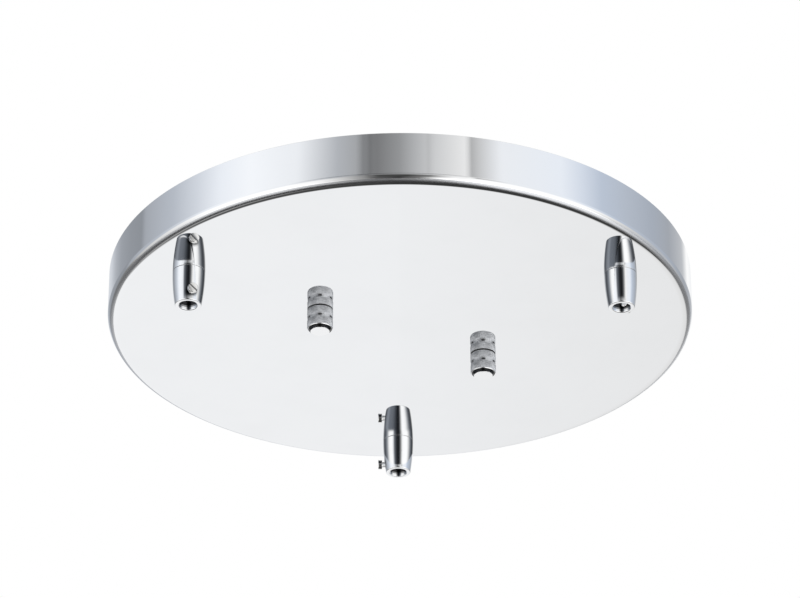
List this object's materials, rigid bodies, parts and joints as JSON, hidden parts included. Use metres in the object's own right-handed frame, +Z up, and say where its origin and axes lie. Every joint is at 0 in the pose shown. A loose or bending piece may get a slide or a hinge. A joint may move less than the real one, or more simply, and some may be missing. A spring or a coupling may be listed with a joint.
{
  "type": "light fixture ceiling canopy",
  "caption": "Round polished chrome ceiling canopy for pendant lamps, with barrel cord grips, knurled fixing nuts and a hidden ceiling bracket.",
  "frame": {"origin": "centre of the ceiling bracket's screw holes, on the ceiling plane", "axes": "+Z up through the ceiling, +Y away from the picture's camera, +X to its right; the cord grips hang towards -Z"},
  "size_m": [0.3, 0.3, 0.063],
  "materials": {
    "pan_chrome": "polished",
    "grip_chrome": "polished",
    "knurled_steel": "satin, knurled",
    "screw_chrome": "polished",
    "zinc_strip": "zinc plated",
    "zinc_fastener": "zinc plated",
    "nipple_zinc": "zinc plated, threaded",
    "spring_steel": "dark spring steel",
    "ground_green": "green zinc"
  },
  "bodies": {
    "canopy": {"pan": "pan_chrome", "ceiling_bracket": "zinc_strip", "stud_left": "zinc_fastener", "stud_right": "zinc_fastener", "stud_nut_left": "zinc_fastener", "stud_nut_right": "zinc_fastener", "ground_screw": "ground_green", "ground_washer": "zinc_fastener", "grip_collar_left": "grip_chrome", "grip_collar_right": "grip_chrome", "grip_collar_far": "grip_chrome", "nipple_left": "nipple_zinc", "nipple_right": "nipple_zinc", "nipple_far": "nipple_zinc", "nipple_nut_left": "zinc_fastener", "nipple_nut_right": "zinc_fastener", "nipple_nut_far": "zinc_fastener", "lock_washer_left": "spring_steel", "lock_washer_right": "spring_steel", "lock_washer_far": "spring_steel"},
    "knurled_nut_left": {"knurled_nut_left": "knurled_steel"},
    "knurled_nut_right": {"knurled_nut_right": "knurled_steel"},
    "grip_barrel_left": {"grip_barrel_left": "grip_chrome"},
    "grip_barrel_right": {"grip_barrel_right": "grip_chrome"},
    "grip_barrel_far": {"grip_barrel_far": "grip_chrome"},
    "upper_screw_left": {"upper_screw_left": "screw_chrome"},
    "upper_screw_right": {"upper_screw_right": "screw_chrome"},
    "upper_screw_far": {"upper_screw_far": "screw_chrome"},
    "lower_screw_left": {"lower_screw_left": "screw_chrome"},
    "lower_screw_right": {"lower_screw_right": "screw_chrome"},
    "lower_screw_far": {"lower_screw_far": "screw_chrome"}
  },
  "joints": [
    {"name": "turn_knurled_nut_left", "type": "hinge", "parent": "canopy", "child": "knurled_nut_left", "pos_m": [-0.04136, -0.02417, -0.036], "axis": [0, 0, 1], "continuous": true},
    {"name": "turn_knurled_nut_right", "type": "hinge", "parent": "canopy", "child": "knurled_nut_right", "pos_m": [0.04136, 0.02417, -0.036], "axis": [0, 0, 1], "continuous": true},
    {"name": "turn_barrel_left", "type": "hinge", "parent": "canopy", "child": "grip_barrel_left", "pos_m": [-0.10427, -0.07725, -0.05375], "axis": [0, 0, 1], "continuous": true},
    {"name": "turn_barrel_right", "type": "hinge", "parent": "canopy", "child": "grip_barrel_right", "pos_m": [0.10682, -0.07283, -0.05375], "axis": [0, 0, 1], "continuous": true},
    {"name": "turn_barrel_far", "type": "hinge", "parent": "canopy", "child": "grip_barrel_far", "pos_m": [-0.00255, 0.10777, -0.05375], "axis": [0, 0, 1], "continuous": true},
    {"name": "drive_upper_screw_left", "type": "slide", "parent": "canopy", "child": "upper_screw_left", "axis": [-0.2756, 0.9613, 0], "range_m": [-0.0013, 0]},
    {"name": "drive_lower_screw_left", "type": "slide", "parent": "grip_barrel_left", "child": "lower_screw_left", "axis": [-0.2756, 0.9613, 0], "range_m": [-0.0013, 0.0011]},
    {"name": "drive_upper_screw_right", "type": "slide", "parent": "canopy", "child": "upper_screw_right", "axis": [-0.342, -0.9397, 0], "range_m": [-0.0013, 0]},
    {"name": "drive_lower_screw_right", "type": "slide", "parent": "grip_barrel_right", "child": "lower_screw_right", "axis": [-0.342, -0.9397, 0], "range_m": [-0.0013, 0.0011]},
    {"name": "drive_upper_screw_far", "type": "slide", "parent": "canopy", "child": "upper_screw_far", "axis": [1, 0, 0], "range_m": [-0.0013, 0]},
    {"name": "drive_lower_screw_far", "type": "slide", "parent": "grip_barrel_far", "child": "lower_screw_far", "axis": [1, 0, 0], "range_m": [-0.0013, 0.0011]}
  ]
}
